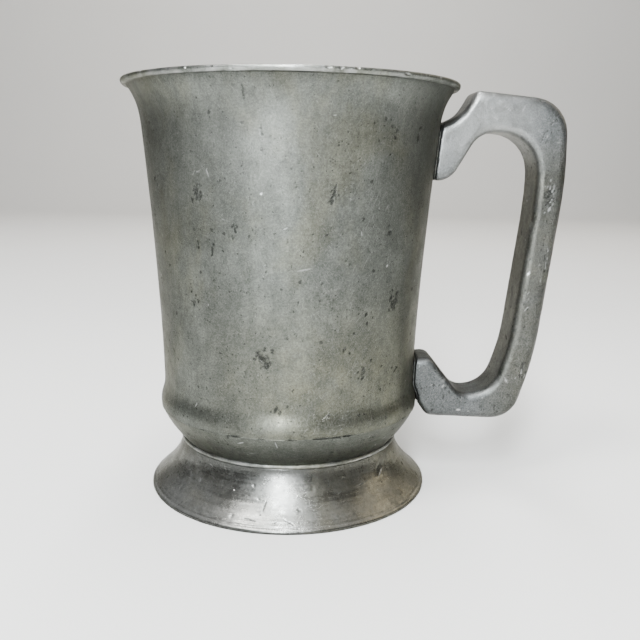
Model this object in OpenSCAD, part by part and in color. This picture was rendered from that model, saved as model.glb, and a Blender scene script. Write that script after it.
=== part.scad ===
// Footed tankard: a flared barrel lapped over a shallow bowl, a hollow spread foot
// and a solid cast handle, held together by four runs of solder.
// Origin on the barrel's axis at the table, +Z up, handle towards +X. Millimetres.

/* [Barrel] */
// Height from the table to the brim
height = 126.5; // [120:0.5:132]
// Outside diameter over the bead along the rim
rim_d = 102.4; // [98:0.2:106]
// Outside diameter where the straight wall ends and the flare begins
shoulder_d = 90.6; // [88:0.2:92]
// Outside diameter at the waist, the narrowest place, just above the belly
waist_d = 80.8; // [79:0.2:82]
// Outside diameter over the belly, where the barrel swells over the bowl's lip
belly_d = 83.6; // [83.2:0.2:85]
// Thickness of the barrel's and the bowl's wall
wall = 1.6; // [1.2:0.1:1.8]
// Radius of the round bead along the rim
rim_bead_r = 0.65; // [0.5:0.05:0.8]

/* [Bowl] */
// Height of the bowl's flat underside, which rests on the foot
neck_z = 15.8; // [14:0.2:17]
// Outside diameter of the bowl at its flat underside
neck_d = 67.6; // [66:0.2:68.4]
// Height of the joint line where the barrel's lower edge meets the bowl
seam_z = 27; // [26:0.2:28]
// Thickness of the bowl's floor
floor_t = 2; // [1.6:0.1:2.6]

/* [Foot] */
// Diameter over the foot's edge
foot_d = 90; // [84:0.5:96]
// Height of the upright edge around the foot
foot_edge_h = 1; // [0.6:0.1:1.6]
// Width of the flat ring that the foot stands on
foot_ring_w = 2.4; // [1.8:0.1:3]
// Outside diameter at the top of the foot
collar_d = 70; // [69.8:0.1:71]
// Width of the ledge that carries the bowl
ledge_w = 2.4; // [2:0.1:3.6]

/* [Handle] */
// Width of the handle, side to side
handle_w = 16; // [13:0.5:18]
// Radius of the handle's edges on the outside of the bend
outer_edge_r = 3; // [2:0.1:3.6]
// Radius of the handle's edges on the finger side
inner_edge_r = 2.4; // [1.4:0.1:3]

/* [Solder] */
// Thickness of the solder film in the lap between barrel and bowl
lap_gap = 0.15; // [0.1:0.05:0.2]
// Thickness of the solder pads between the handle and the body
pad_t = 0.6; // [0.4:0.1:0.8]
// How far the pads stop short of the handle's edges
pad_inset = 0.5; // [0.3:0.1:0.8]
// Radius of the solder bead around the neck
neck_bead_r = 0.8; // [0.6:0.05:1]

/* [Hidden] */
$fn = 96;

BODY_COLOUR = [0.52, 0.52, 0.49];
FOOT_COLOUR = [0.56, 0.56, 0.53];
HANDLE_COLOUR = [0.60, 0.62, 0.62];
SOLDER_COLOUR = [0.70, 0.70, 0.68];

rim_r = rim_d / 2;
waist_r = waist_d / 2;
belly_r = belly_d / 2;
neck_r = neck_d / 2;
foot_r = foot_d / 2;
collar_r = collar_d / 2;
bore_r = waist_r - wall;
floor_z = neck_z + floor_t;

// Heights of the features along the barrel
waist_z = 34;
belly_z = 29;
lap_top_z = 31.6;
flare_h = 15.5;
flare_z = height - flare_h;
bead_z = height - rim_bead_r;
// Below the brim by this much, the inside leaves the wall's curve and runs to the bead
lip_h = 3.5;
lip_z = height - lip_h;

// Shapes of the curves: 1 is a straight line, more bends later and harder
TAPER_POWER = 1.5;
FLARE_POWER = 3.3;
BOWL_POWER = 1.55;
taper = shoulder_d / 2 - waist_r;
flare = rim_r - waist_r - taper * pow((height - waist_z) / (flare_z - waist_z), TAPER_POWER);
belly = belly_r - waist_r;
belly_half = waist_z - belly_z;
SLOPE_STEP = 0.05;

// Size of the round corner between the bowl's wall and its floor, inside
floor_fillet = 3;
// How far the middle of that corner lies inside the wall's line
FILLET_LEAD = 0.3;
// The bowl's inside is a straight bore from this height up
bore_low_z = belly_z - 3;

// How far below the foot's ledge its hollow begins
ledge_t = 1.6;
foot_wall = 1.6;
// Bend of the foot's flank, where its end tangents cross: how far outside the top edge
// it lies, and its share of the foot's height
FLANK_LEAD = 0.5;
FLANK_RISE = 0.55;
foot_bend = [collar_r + FLANK_LEAD, neck_z * FLANK_RISE];
// The bend of the hollow from that of the flank, so that the flank's wall stays even
HOLLOW_BEND = [1.4, 0.8];

// How deep the seam's solder lies below the surface
seam_recess = 0.1;
// Centre of the neck's solder bead, from the top outer corner of the foot
BEAD_INSET = 0.4;
BEAD_RISE = 0.5;

// Straight pieces that each curve is drawn with
LAP_STEPS = 5;
BELLY_STEPS = 8;
TAPER_STEPS = 11;
FLARE_STEPS = 10;
BORE_STEPS = 12;
LIP_STEPS = 7;
BOWL_STEPS = 10;
BOWL_BORE_STEPS = 6;
FILLET_STEPS = 5;
FOOT_STEPS = 14;

// The handle as it is drawn at this height of tankard, stretched with the height
DRAWN_HEIGHT = 126.5;
stretch = height / DRAWN_HEIGHT;
// Corners of the handle's side view from the upper root to the lower one: [x, z, radius].
// The two lines have the same number of corners, and each corner has its partner.
OUTER_LINE = [
    [37, 112, 0],
    [51.8, 118, 10],
    [56, 125.4, 2],
    [84.2, 122.8, 11],
    [85.5, 100, 120],
    [79.4, 42, 100],
    [73, 21.4, 9],
    [58, 21.8, 300],
    [44.8, 22.4, 3],
    [38, 32, 0]
];
FINGER_LINE = [
    [37, 97.6, 0],
    [49, 98.3, 7],
    [57.5, 112.8, 8],
    [75.2, 112.9, 12],
    [76, 95, 120],
    [70.5, 46, 60],
    [65.4, 30.2, 10],
    [55, 30.3, 6],
    [45.6, 42.2, 3],
    [38, 41.8, 0]
];
// Straight pieces in each corner of the two lines, and in each corner of a section
BEND_STEPS = 6;
EDGE_STEPS = 4;
// Points in a root: the handle's end, the corner next to it and the start of the one after
root_points = BEND_STEPS + 3;

function steps(a, b, n) = [for (i = [0:n]) a + (b - a) * i / n];
function steps_after(a, b, n) = [for (i = [1:n]) a + (b - a) * i / n];
function bezier(a, b, c, n) =
    [for (i = [0:n]) let (t = i / n) a * pow(1 - t, 2) + b * 2 * t * (1 - t) + c * t * t];

// Outside radius of the bowl, whose curve runs on up the barrel's lower edge to the belly
function bowl_r(z) =
    belly_r - (belly_r - neck_r) * pow((belly_z - z) / (belly_z - neck_z), BOWL_POWER);
// Outside radius of the barrel: swelling above the belly, taper, flare at the mouth
function swell(z) = z < waist_z ? pow(cos(90 * (z - belly_z) / belly_half), 2) : 0;
function barrel_r(z) =
    z < belly_z
        ? bowl_r(z)
        : waist_r
            + taper * pow(max(0, z - waist_z) / (flare_z - waist_z), TAPER_POWER)
            + flare * pow(max(0, z - flare_z) / (height - flare_z), FLARE_POWER)
            + belly * swell(z);
// The wall measured level, so that it is as thick as stated across its slope
function barrel_slope(z) = (barrel_r(z + SLOPE_STEP) - barrel_r(z - SLOPE_STEP)) / (2 * SLOPE_STEP);
function bowl_slope(z) = (bowl_r(z + SLOPE_STEP) - bowl_r(z - SLOPE_STEP)) / (2 * SLOPE_STEP);
function barrel_bore_r(z) = barrel_r(z) - wall * sqrt(1 + pow(barrel_slope(z), 2));
function bowl_bore_r(z) = min(bore_r, bowl_r(z) - wall * sqrt(1 + pow(bowl_slope(z), 2)));

LAP_Z = steps(seam_z, lap_top_z, LAP_STEPS);
barrel_outer_z = concat(
    steps(seam_z, waist_z, BELLY_STEPS),
    steps_after(waist_z, flare_z, TAPER_STEPS),
    steps_after(flare_z, bead_z, FLARE_STEPS)
);
barrel_inner_z = concat(
    LAP_Z, steps_after(lap_top_z, flare_z, BORE_STEPS), steps_after(flare_z, lip_z, LIP_STEPS)
);
bowl_outer_z = steps(neck_z, seam_z - lap_gap, BOWL_STEPS);
bowl_inner_z = steps(floor_z + floor_fillet, bore_low_z, BOWL_BORE_STEPS);

lap_inner = [for (z = LAP_Z) [barrel_bore_r(z), z]];
lip_outer = [for (p = lap_inner) [p[0] - lap_gap, p[1]]];
shoulder_point = [lip_outer[0][0], seam_z - lap_gap];

function reversed(list) = [for (i = [len(list) - 1:-1:0]) list[i]];

module barrel_section() {
    outer = [for (z = barrel_outer_z) [barrel_r(z), z]];
    inner = [for (z = barrel_inner_z) [barrel_bore_r(z), z]];
    lip = [[rim_r - 2 * rim_bead_r, bead_z]];
    polygon(concat(outer, reversed(concat(inner, lip))));
    translate([rim_r - rim_bead_r, bead_z])
        circle(r = rim_bead_r);
}

module bowl_section() {
    outer = [for (z = bowl_outer_z) [bowl_r(z), z]];
    inner = [for (z = bowl_inner_z) [bowl_bore_r(z), z]];
    lip_top = [[bore_r, lap_top_z]];
    corner = [bowl_bore_r(floor_z) - FILLET_LEAD, floor_z];
    fillet = bezier(inner[0], corner, corner - [floor_fillet, 0], FILLET_STEPS);
    floor_line = [[0, floor_z], [0, neck_z]];
    polygon(concat(
        outer, [shoulder_point], lip_outer, lip_top, reversed(inner),
        [for (i = [1:len(fillet) - 1]) fillet[i]], floor_line
    ));
}

module foot_section() {
    hollow_top = neck_z - ledge_t;
    flank = bezier([foot_r, foot_edge_h], foot_bend, [collar_r, neck_z], FOOT_STEPS);
    hollow = bezier(
        [collar_r - foot_wall, hollow_top],
        foot_bend - HOLLOW_BEND,
        [foot_r - foot_ring_w, 0],
        FOOT_STEPS
    );
    ledge_in = collar_r - ledge_w;
    polygon(concat([[foot_r, 0]], flank, [[ledge_in, neck_z], [ledge_in, hollow_top]], hollow));
}

module barrel() {
    color(BODY_COLOUR)
        rotate_extrude()
            barrel_section();
}

module bowl() {
    color(BODY_COLOUR)
        rotate_extrude()
            bowl_section();
}

module foot() {
    color(FOOT_COLOUR)
        rotate_extrude()
            foot_section();
}

// A film up the lap and under the barrel's lower edge, a little below the surface
module barrel_seam_solder() {
    edge_r = barrel_r(seam_z) - seam_recess;
    color(SOLDER_COLOUR)
        rotate_extrude()
            polygon(concat(
                [shoulder_point], lip_outer, reversed(lap_inner),
                [[edge_r, seam_z], [edge_r, seam_z - lap_gap]]
            ));
}

// A bead in the corner between the bowl and the top of the foot
module foot_solder() {
    color(SOLDER_COLOUR)
        rotate_extrude()
            difference() {
                translate([collar_r - BEAD_INSET, neck_z + BEAD_RISE])
                    circle(r = neck_bead_r);
                bowl_section();
                foot_section();
            }
}

// The body's outside, grown by an even margin
module body_envelope(margin) {
    low = [for (z = bowl_outer_z) [bowl_r(z) + margin, z]];
    high = [for (z = barrel_outer_z) [barrel_r(z) + margin, z]];
    rotate_extrude()
        polygon(concat([[0, neck_z]], low, high, [[0, bead_z]]));
}

function unit(v) = v / norm(v);
// Points round one corner of a line, between its neighbours before and after
function bend(before, at, after) =
    let (
        here = [at[0], at[1]],
        back = unit([before[0], before[1]] - here),
        on = unit([after[0], after[1]] - here),
        half = acos(back * on) / 2,
        turn = 180 - 2 * half,
        centre = here + unit(back + on) * at[2] / sin(half),
        first = here + back * at[2] / tan(half) - centre,
        last = here + on * at[2] / tan(half) - centre
    )
    [
        for (t = steps(0, 1, BEND_STEPS))
            centre + (first * sin((1 - t) * turn) + last * sin(t * turn)) / sin(turn)
    ];
// A whole line with its corners rounded
function rounded(line) =
    let (last = len(line) - 1)
    concat(
        [[line[0][0], line[0][1]]],
        [for (i = [1:last - 1], p = bend(line[i - 1], line[i], line[i + 1])) p],
        [[line[last][0], line[last][1]]]
    );
outer_path = rounded(OUTER_LINE);
finger_path = rounded(FINGER_LINE);
end_point = len(outer_path) - 1;

// One rounded corner of a section; u runs from the finger side outwards, v across
function corner(u, v, r, from) =
    [for (k = [0:EDGE_STEPS]) let (a = from + 90 * k / EDGE_STEPS) [u + r * cos(a), v + r * sin(a)]];
function section_outline(depth, width) =
    let (hw = width / 2, ro = outer_edge_r, ri = inner_edge_r)
    concat(
        corner(depth - ro, hw - ro, ro, 0),
        corner(ri, hw - ri, ri, 90),
        corner(ri, ri - hw, ri, 180),
        corner(depth - ro, ro - hw, ro, 270)
    );
// The section between the two lines' points number i, made smaller all round by inset
function section(i, inset) =
    let (
        outer = [outer_path[i][0], 0, outer_path[i][1] * stretch],
        inner = [finger_path[i][0], 0, finger_path[i][1] * stretch],
        along = unit(outer - inner),
        start = inner + along * inset,
        depth = norm(outer - inner) - 2 * inset
    )
    [for (q = section_outline(depth, handle_w - 2 * inset)) start + along * q[0] + [0, q[1], 0]];

// Solid swept through the sections between two numbered points of the lines
module sweep(first, last, inset) {
    rings = [for (i = [first:last]) section(i, inset)];
    n = len(rings);
    m = len(rings[0]);
    sides = [
        for (i = [0:n - 2], j = [0:m - 1])
            [i * m + j, i * m + (j + 1) % m, (i + 1) * m + (j + 1) % m, (i + 1) * m + j]
    ];
    first_cap = [for (j = [m - 1:-1:0]) j];
    last_cap = [for (j = [0:m - 1]) (n - 1) * m + j];
    polyhedron(points = [for (ring = rings, p = ring) p], faces = concat([first_cap, last_cap], sides));
}

module handle() {
    color(HANDLE_COLOUR)
        difference() {
            sweep(0, end_point, 0);
            body_envelope(pad_t);
        }
}

// Solder between the body and the root that lies between two points of the lines
module handle_pad(first, last) {
    color(SOLDER_COLOUR)
        intersection() {
            sweep(first, last, pad_inset);
            difference() {
                body_envelope(pad_t);
                body_envelope(0);
            }
        }
}

module upper_handle_solder() {
    handle_pad(0, root_points - 1);
}

module lower_handle_solder() {
    handle_pad(end_point - root_points + 1, end_point);
}

barrel();
bowl();
foot();
handle();
barrel_seam_solder();
foot_solder();
upper_handle_solder();
lower_handle_solder();
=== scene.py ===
"""A worn pewter tankard: turned barrel, bowl and foot, a cast handle, and their solder.

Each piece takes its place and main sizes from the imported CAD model. Small details are
set here. Mesh work is in millimetres, and azimuths are in degrees round the vertical
axis: 0 at the front (-Y), 90 at the handle (+X), 180 at the back.
"""
import math
import random

import bmesh
import bpy
import numpy as np
from mathutils import Matrix, Vector, noise


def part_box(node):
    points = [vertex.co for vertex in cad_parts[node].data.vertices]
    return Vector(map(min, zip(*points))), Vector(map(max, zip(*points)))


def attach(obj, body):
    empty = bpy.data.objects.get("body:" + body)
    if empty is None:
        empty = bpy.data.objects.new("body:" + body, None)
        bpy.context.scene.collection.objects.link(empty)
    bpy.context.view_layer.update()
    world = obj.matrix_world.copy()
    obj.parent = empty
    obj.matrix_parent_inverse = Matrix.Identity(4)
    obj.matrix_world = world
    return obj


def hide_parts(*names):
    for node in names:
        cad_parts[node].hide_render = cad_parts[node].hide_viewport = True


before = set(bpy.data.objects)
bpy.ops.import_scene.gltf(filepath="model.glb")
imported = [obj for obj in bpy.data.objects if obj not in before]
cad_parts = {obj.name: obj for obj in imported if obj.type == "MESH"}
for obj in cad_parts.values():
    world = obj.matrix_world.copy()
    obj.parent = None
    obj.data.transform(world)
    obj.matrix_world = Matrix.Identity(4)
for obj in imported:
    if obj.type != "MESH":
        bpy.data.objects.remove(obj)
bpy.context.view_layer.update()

MM = 0.001
SEED = 1760

# Camera: close in front, a little below the rim's height and looking down, with a slight roll.
# Rounded from a fit of the tankard's outline, in metres, millimetres and degrees.
CAMERA_AT = (0.0, -0.244, 0.103)
CAMERA_LENS = 43
SENSOR_WIDTH = 36
CLIP_START = 0.01
CAMERA_YAW, CAMERA_PITCH, CAMERA_ROLL = 2.3, 11.6, 0.9

# Turned parts
SEGMENTS = 320
WALL_STEP = 1.0
INNER_STEP = 2.2
SAMPLE_STEP = 0.25
WALL_SOFTENING = 60
REFINE_MARGIN = 0.9


# ---- camera and set

def add_camera():
    yaw, pitch, roll = (math.radians(a) for a in (CAMERA_YAW, CAMERA_PITCH, CAMERA_ROLL))
    forward = Vector((math.sin(yaw) * math.cos(pitch), math.cos(yaw) * math.cos(pitch), -math.sin(pitch)))
    level = Vector((math.cos(yaw), -math.sin(yaw), 0))
    upward = level.cross(forward)
    right = level * math.cos(roll) + upward * math.sin(roll)
    up = upward * math.cos(roll) - level * math.sin(roll)
    data = bpy.data.cameras.new("camera")
    data.sensor_width = SENSOR_WIDTH
    data.lens = CAMERA_LENS
    data.clip_start = CLIP_START
    camera = bpy.data.objects.new("camera", data)
    turn = Matrix((right, up, -forward)).transposed().to_4x4()
    camera.matrix_world = Matrix.Translation(CAMERA_AT) @ turn
    bpy.context.scene.collection.objects.link(camera)
    bpy.context.scene.camera = camera


# The middle of the tankard, which most lights look at, and of the backdrop, in metres
TANKARD_MIDDLE = Vector((0, 0, 0.06))
BACKDROP_MIDDLE = Vector((0, 1.7, 0.5))
WORLD_COLOUR, WORLD_STRENGTH = (0.86, 0.84, 0.80, 1), 0.19


def add_panel(name, azimuth, elevation, distance, width, height, power, colour, target=TANKARD_MIDDLE):
    """A rectangular soft light that looks at the target. Lengths are in metres and power is in watts."""
    a, e = math.radians(azimuth), math.radians(elevation)
    place = distance * Vector((math.sin(a) * math.cos(e), -math.cos(a) * math.cos(e), math.sin(e)))
    data = bpy.data.lights.new(name, "AREA")
    data.shape = "RECTANGLE"
    data.size, data.size_y = width, height
    data.energy = power
    data.color = colour
    light = bpy.data.objects.new(name, data)
    light.location = place
    light.rotation_euler = (target - place).to_track_quat("-Z", "Y").to_euler()
    bpy.context.scene.collection.objects.link(light)


def add_lights():
    add_panel("front_window", -9, 34, 0.80, 0.12, 0.80, 20.0, (0.94, 0.98, 1.0))
    add_panel("ceiling_window", 176, 86, 0.80, 0.08, 0.80, 6.0, (0.97, 0.99, 1.0))
    add_panel("ceiling", 0, 89, 1.20, 1.60, 1.60, 5.0, (1.0, 0.98, 0.95))
    add_panel("key", -46, 62, 1.10, 0.30, 0.30, 8.0, (1.0, 0.98, 0.95))
    add_panel("right_wall", 112, 36, 1.20, 1.20, 0.80, 3.6, (1.0, 0.90, 0.74))
    add_panel("left_wall", -115, 36, 1.20, 1.20, 0.80, 1.6, (0.95, 0.97, 1.0))
    add_panel("backdrop", 178, 56, 1.00, 0.16, 0.16, 7.0, (1.0, 0.95, 0.88), BACKDROP_MIDDLE)
    world = bpy.data.worlds.new("studio")
    world.use_nodes = True
    background = world.node_tree.nodes["Background"]
    background.inputs["Color"].default_value = WORLD_COLOUR
    background.inputs["Strength"].default_value = WORLD_STRENGTH
    bpy.context.scene.world = world


def add_floor():
    """A pale floor that curves up into a backdrop."""
    half_width, front, back, bend, top = 2.4, -2.4, 1.3, 0.5, 2.2
    bend_steps = 12
    line = [(front, 0.0), (back, 0.0)]
    for k in range(1, bend_steps + 1):
        a = math.radians(90 * k / bend_steps)
        line.append((back + bend * math.sin(a), bend * (1 - math.cos(a))))
    line.append((back + bend, top))
    verts = [(x, y, z) for y, z in line for x in (-half_width, half_width)]
    faces = [(2 * i, 2 * i + 1, 2 * i + 3, 2 * i + 2) for i in range(len(line) - 1)]
    mesh = bpy.data.meshes.new("floor")
    mesh.from_pydata(verts, [], faces)
    mesh.shade_smooth()
    floor = bpy.data.objects.new("floor", mesh)
    floor.data.materials.append(floor_material())
    bpy.context.scene.collection.objects.link(floor)


# ---- shader helpers

class Shader:
    """A material's node tree with short ways to add to it. Lengths are in millimetres."""

    def __init__(self, name):
        self.material = bpy.data.materials.new(name)
        self.material.use_nodes = True
        self.tree = self.material.node_tree
        self.tree.nodes.clear()

    def node(self, kind, inputs=(), **settings):
        node = self.tree.nodes.new("ShaderNode" + kind)
        for key, value in settings.items():
            setattr(node, key, value)
        for key, value in dict(inputs).items():
            if isinstance(value, bpy.types.NodeSocket):
                self.tree.links.new(value, node.inputs[key])
            else:
                node.inputs[key].default_value = value
        return node

    def place(self, offset):
        """Object coordinates in millimetres, moved by an offset so that materials differ."""
        raw = self.node("TexCoord").outputs["Object"]
        inputs = {"Vector": raw, "Scale": (1 / MM,) * 3, "Location": offset}
        return self.node("Mapping", inputs).outputs[0]

    def stretched(self, vector, lengths, turn=(0, 0, 0)):
        """Coordinates in which a noise of size 1 is as long as stated along each turned axis."""
        inputs = {"Vector": vector, "Rotation": tuple(math.radians(a) for a in turn)}
        turned = self.node("Mapping", inputs).outputs[0]
        scale = tuple(1 / length for length in lengths)
        return self.node("Mapping", {"Vector": turned, "Scale": scale}).outputs[0]

    def noise(self, vector, size, detail=4.0, rough=0.55, bend=0.0):
        inputs = {"Vector": vector, "Scale": 1 / size, "Detail": detail, "Roughness": rough,
                  "Distortion": bend}
        return self.node("TexNoise", inputs).outputs[0]

    def jitter(self, vector, size, amount):
        """Coordinates pushed about by a noise, which makes outlines ragged."""
        shift = self.node("TexNoise", {"Vector": vector, "Scale": 1 / size, "Detail": 2.0}).outputs["Color"]
        shift = self.node("VectorMath", {0: shift, 1: (0.5,) * 3}, operation="SUBTRACT").outputs[0]
        shift = self.node("VectorMath", {0: shift, "Scale": amount}, operation="SCALE").outputs[0]
        return self.node("VectorMath", {0: vector, 1: shift}, operation="ADD").outputs[0]

    def math(self, operation, a, b=0.0):
        return self.node("Math", {0: a, 1: b}, operation=operation).outputs[0]

    def times(self, a, b):
        return self.math("MULTIPLY", a, b)

    def most(self, a, b):
        return self.math("MAXIMUM", a, b)

    def sum(self, base, layers):
        """The base plus every layer times its amount."""
        for layer, amount in layers:
            base = self.math("ADD", base, self.times(layer, amount))
        return base

    def band(self, value, low, high):
        """0 up to low, 1 from high on, and smooth between."""
        inputs = {"Value": value, "From Min": low, "From Max": high}
        return self.node("MapRange", inputs, interpolation_type="SMOOTHSTEP").outputs[0]

    def span(self, value, low, high):
        """A value from 0 to 1 brought to the range from low to high."""
        return self.node("MapRange", {"Value": value, "To Min": low, "To Max": high}).outputs[0]

    def blend(self, factor, a, b, mode="MIX"):
        node = self.node("Mix", data_type="RGBA", blend_type=mode)
        for index, value in ((0, factor), (6, a), (7, b)):
            if isinstance(value, bpy.types.NodeSocket):
                self.tree.links.new(value, node.inputs[index])
            else:
                node.inputs[index].default_value = value
        return node.outputs[2]

    def finish(self, colour, roughness, height, bump_mm, metallic=1.0, edge=(1.0, 1.0, 1.0, 1.0)):
        inputs = {"Height": height, "Strength": 1.0, "Distance": bump_mm * MM}
        bump = self.node("Bump", inputs).outputs[0]
        inputs = {"Base Color": colour, "Roughness": roughness, "Normal": bump, "Metallic": metallic,
                  "Specular Tint": edge}
        surface = self.node("BsdfPrincipled", inputs)
        output = self.node("OutputMaterial")
        self.tree.links.new(surface.outputs[0], output.inputs[0])
        return self.material


def rgb(red, green, blue):
    return (red, green, blue, 1.0)


def floor_material():
    """A matt pale surface: broad clouds of tone and a fine tooth."""
    s = Shader("pale_floor")
    p = s.place((0, 0, 0))
    cloud = s.noise(p, 180, 3)
    tooth = s.noise(p, 0.9, 2)
    colour = s.blend(cloud, rgb(0.80, 0.795, 0.78), rgb(0.84, 0.835, 0.82))
    return s.finish(colour, 0.85, tooth, 0.05, metallic=0.0)


def pits(s, vector, cell, share, radius):
    """Round pits of varied size, one to a cell in a share of the cells. The share can be a socket."""
    cells = s.node("TexVoronoi", {"Vector": vector, "Scale": 1 / cell, "Randomness": 1.0})
    chance = s.node("SeparateColor", {0: cells.outputs["Color"]})
    size = s.span(chance.outputs[1], 0.35 * radius / cell, radius / cell)
    inside = s.math("SUBTRACT", size, cells.outputs["Distance"])
    shape = s.band(inside, 0.0, 0.4 * radius / cell)
    chosen = s.math("LESS_THAN", chance.outputs[0], share)
    return s.times(shape, chosen)


def scratches(s, vector, turns, width, length, low):
    """Fine straight strokes that run in several directions."""
    total = None
    for turn in turns:
        lines = s.noise(s.stretched(vector, (length, width, width), turn), 1.0, 1.0, 0.4)
        lines = s.band(lines, low, low + 0.06)
        total = lines if total is None else s.most(total, lines)
    return total


# Turns of the five directions that fine scratches run in, in degrees
SCRATCH_TURNS = ((20, 65, 10), (-35, 20, 80), (60, -25, 130), (5, 80, 160), (75, 35, 35))
# Tint of the reflection at grazing angles, where old metal is darker than clean metal
EDGE_TINT = (0.60, 0.59, 0.56, 1.0)
SCRATCH_COLOUR = (0.45, 0.45, 0.43, 1.0)
# Colour of burnish, which also lightens the painted highlights
BURNISH_AND_HIGHLIGHT_COLOUR = (0.50, 0.505, 0.50, 1.0)


def pewter(name, bright, dull, olive, stain, offset, patch=24.0, olive_share=0.45, speck_share=0.75,
           blotch_share=0.62, pit_share=0.25, scratch=0.6, rings=0.3, rough=(0.34, 0.50), bump=0.05,
           grain=0.25, gritty=0.42, edge=EDGE_TINT):
    """Old pewter: soft patches of tarnish, ragged blotches, specks, pits, fine strokes and turning lines.

    The mesh's colour attribute adds grime, burnish, tint, and shade as the alpha; besides real marks these
    hold painted shade, painted highlights and a painted warm reflection.
    """
    s = Shader(name)
    p = s.place(offset)
    worn = s.node("Attribute", attribute_name="wear_and_light")
    wear_and_light = s.node("SeparateColor", {0: worn.outputs["Color"]})
    # Grime, burnish, tint and shade from the mesh, among them painted shade, painted highlights and a painted
    # warm reflection
    grime_and_shade, burnish_and_highlight, tint_and_reflection, shade = wear_and_light.outputs[0], wear_and_light.outputs[1], wear_and_light.outputs[2], worn.outputs["Alpha"]

    # Patterns, from the broad ones to the fine
    patches = s.band(s.noise(p, patch, 6, 0.62, 0.4), 0.36, 0.66)
    clouds = s.noise(p, 5.5, 6, 0.68)
    mottle = s.noise(p, 1.5, 5, 0.70)
    flecks = s.noise(p, 0.9, 4, 0.75)
    fine = s.noise(p, 0.35, 2, 0.6)
    grit = s.noise(p, 0.55, 2, 0.7)
    streaks = s.noise(s.stretched(p, (1, 1, 9)), 2.6, 3, 0.6)
    # Specks and blotches crowd together in zones
    zone = s.band(s.noise(p, 13.0, 4, 0.6), 0.44, 0.62)
    loose = s.jitter(p, 0.8, 1.1)
    specks = s.most(pits(s, loose, 0.80, s.span(zone, 0.06, 0.55), 0.32),
                    pits(s, loose, 1.7, s.span(zone, 0.02, 0.25), 0.70))
    specks = s.times(specks, speck_share)
    blotches = s.band(s.noise(p, 8.5, 10, 0.84, 0.6), 0.555, 0.635)
    blotches = s.times(blotches, s.span(zone, 0.35, 1.0))
    holes = s.most(pits(s, p, 3.6, pit_share, 0.42), pits(s, p, 9.0, pit_share * 1.4, 0.85))
    strokes = s.times(scratches(s, p, SCRATCH_TURNS, 0.11, 9.0, 0.70), scratch)
    turned = s.noise(s.stretched(p, (60, 60, 0.5)), 1.0, 4, 0.7)

    # Tone: each pattern makes the metal darker or lighter
    colour = s.blend(patches, dull, bright)
    tone = s.span(s.band(clouds, 0.30, 0.70), 0.90, 1.08)
    layers = (
        s.span(s.band(mottle, 0.25, 0.75), 0.86, 1.12),
        s.span(s.band(streaks, 0.30, 0.70), 0.90, 1.08),
        s.span(s.band(grit, 0.30, 0.70), 1 - 0.5 * gritty, 1 + 0.5 * gritty),
        s.span(s.times(blotches, blotch_share), 1.0, 0.40),
        # The mesh's shade: painted shade that darkens the metal
        s.span(shade, 1.0, 0.30),
    )
    for layer in layers:
        tone = s.times(tone, layer)
    tone_rgb = s.node("CombineColor", {0: tone, 1: tone, 2: tone}).outputs[0]
    colour = s.blend(1.0, colour, tone_rgb, "MULTIPLY")
    # Colour: olive tarnish and a painted warm reflection, dark marks, grime and painted shade, then bright
    # scratches, burnish and painted highlights
    olive_zone = s.band(s.noise(s.stretched(p, (1, 1, 1.6)), 26, 5, 0.6, 0.3), 0.45, 0.64)
    olive_zone = s.times(olive_zone, olive_share)
    olive_zone = s.most(olive_zone, s.times(tint_and_reflection, clouds))
    colour = s.blend(olive_zone, colour, s.blend(1.0, colour, olive, "MULTIPLY"))
    marks = s.most(specks, s.times(holes, 0.7))
    ragged = s.math("ADD", grime_and_shade, s.times(s.math("SUBTRACT", flecks, 0.5), 2.6))
    ragged = s.times(s.band(ragged, 0.15, 1.05), s.band(grime_and_shade, 0.0, 0.30))
    marks = s.most(marks, s.times(ragged, 0.92))
    colour = s.blend(marks, colour, stain)
    colour = s.blend(s.times(strokes, 0.55), colour, SCRATCH_COLOUR)
    colour = s.blend(s.times(burnish_and_highlight, 0.9), colour, BURNISH_AND_HIGHLIGHT_COLOUR)

    # Roughness, and height for the bump
    lines = s.math("SUBTRACT", turned, 0.5)
    satin = s.sum(s.span(s.band(clouds, 0.30, 0.72), rough[1], rough[0]),
                  ((marks, 0.22), (blotches, 0.08), (burnish_and_highlight, -0.14), (lines, 0.18 * rings)))
    height = s.sum(s.times(mottle, 0.55),
                   ((fine, grain), (clouds, 0.9), (marks, -0.55), (strokes, -0.5), (turned, rings)))
    return s.finish(colour, satin, height, bump, edge=edge)


# Pewter of the body where it is brightest and dullest, the factor of its olive tarnish, and its stains
BRIGHT = rgb(0.154, 0.164, 0.149)
DULL = rgb(0.107, 0.114, 0.103)
OLIVE = rgb(1.22, 1.13, 0.86)
STAIN = rgb(0.022, 0.023, 0.021)


def body_material(name):
    """The barrel and the bowl share one pattern, which runs on across their seam."""
    return pewter(name, BRIGHT, DULL, OLIVE, STAIN, (11, 47, 5), rough=(0.33, 0.47))


def inside_material():
    return pewter("aged_pewter_inside", rgb(0.18, 0.18, 0.17), rgb(0.11, 0.11, 0.10), OLIVE, STAIN,
                  (71, 3, 29), patch=30, olive_share=0.7, rings=0.9, rough=(0.34, 0.55))


def foot_material():
    return pewter("polished_pewter_foot", rgb(0.235, 0.24, 0.23), rgb(0.18, 0.185, 0.175), OLIVE, STAIN,
                  (37, 19, 61), patch=18, rings=0.9, scratch=0.5, rough=(0.23, 0.33), bump=0.016,
                  speck_share=0.4, pit_share=0.08, blotch_share=0.6, grain=0.05, gritty=0.32,
                  edge=rgb(0.50, 0.49, 0.465))


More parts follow.
